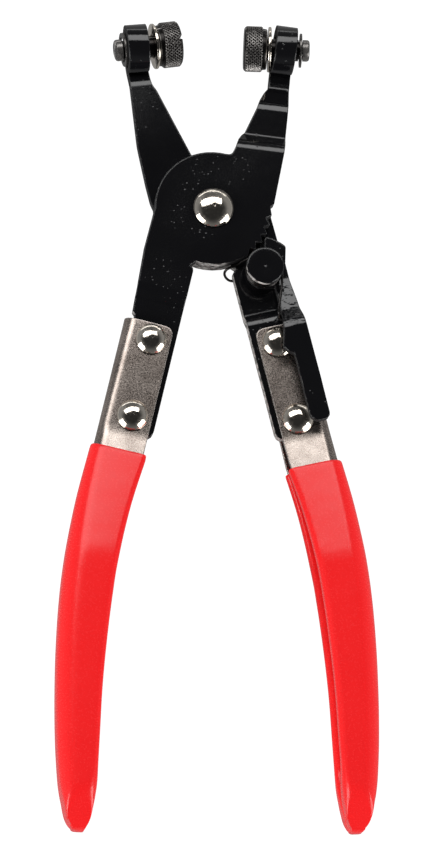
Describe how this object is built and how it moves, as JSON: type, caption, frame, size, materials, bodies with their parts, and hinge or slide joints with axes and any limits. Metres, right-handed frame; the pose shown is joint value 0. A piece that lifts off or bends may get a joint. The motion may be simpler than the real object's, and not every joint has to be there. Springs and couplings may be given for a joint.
{
  "type": "hose clamp pliers",
  "caption": "Stamped pliers with swivelling knurled jaws, a ratchet latch lever with its spring, and channel handles in dipped grips.",
  "frame": {"origin": "middle of the tool's bounding box, on the surface that it lies on", "axes": "+X across the handles to the right, +Y along the tool toward the jaws, +Z out of the front face"},
  "size_m": [0.0838, 0.2196, 0.0163],
  "materials": {
    "black_enamel": "glossy black enamel on stamped steel",
    "nickel_plate": "satin nickel plate",
    "bright_nickel": "polished nickel",
    "black_oxide": "oiled black oxide, knurled",
    "red_vinyl": "glossy dipped red vinyl",
    "spring_steel": "dark oiled spring wire"
  },
  "bodies": {
    "front_half": {"front_plate": "black_enamel", "pivot_rivet": "bright_nickel", "left_handle": "nickel_plate", "left_grip": "red_vinyl", "left_rivet_upper": "bright_nickel", "left_rivet_lower": "bright_nickel"},
    "rear_half": {"rear_plate": "black_enamel", "right_handle": "nickel_plate", "right_grip": "red_vinyl", "right_rivet_upper": "bright_nickel", "right_rivet_lower": "bright_nickel", "latch_rivet": "black_enamel", "latch_spring": "spring_steel"},
    "left_jaw": {"left_jaw_pin": "black_oxide", "left_jaw_washer": "bright_nickel", "left_jaw_clip": "black_oxide"},
    "right_jaw": {"right_jaw_pin": "black_oxide", "right_jaw_washer": "bright_nickel", "right_jaw_clip": "black_oxide"},
    "latch": {"latch_lever": "black_enamel"}
  },
  "joints": [
    {"name": "main_pivot", "type": "hinge", "parent": "front_half", "child": "rear_half", "pos_m": [-0.00069, 0.05702, 0.00815], "axis": [0, 0, 1], "range_deg": [-19.4, 19.4]},
    {"name": "left_jaw_swivel", "type": "hinge", "parent": "rear_half", "child": "left_jaw", "pos_m": [-0.02089, 0.10192, 0.00815], "axis": [0.9842, 0.1691, -0.0523], "continuous": true},
    {"name": "right_jaw_swivel", "type": "hinge", "parent": "front_half", "child": "right_jaw", "pos_m": [0.01903, 0.10287, 0.00815], "axis": [-0.9958, 0.0287, -0.0872], "continuous": true},
    {"name": "latch_hinge", "type": "hinge", "parent": "rear_half", "child": "latch", "pos_m": [0.01251, 0.04021, 0.00815], "axis": [0, 0, 1], "range_deg": [-8, 5], "stiffness_Nm_per_rad": 0.05, "deforming": ["latch_spring"]}
  ]
}
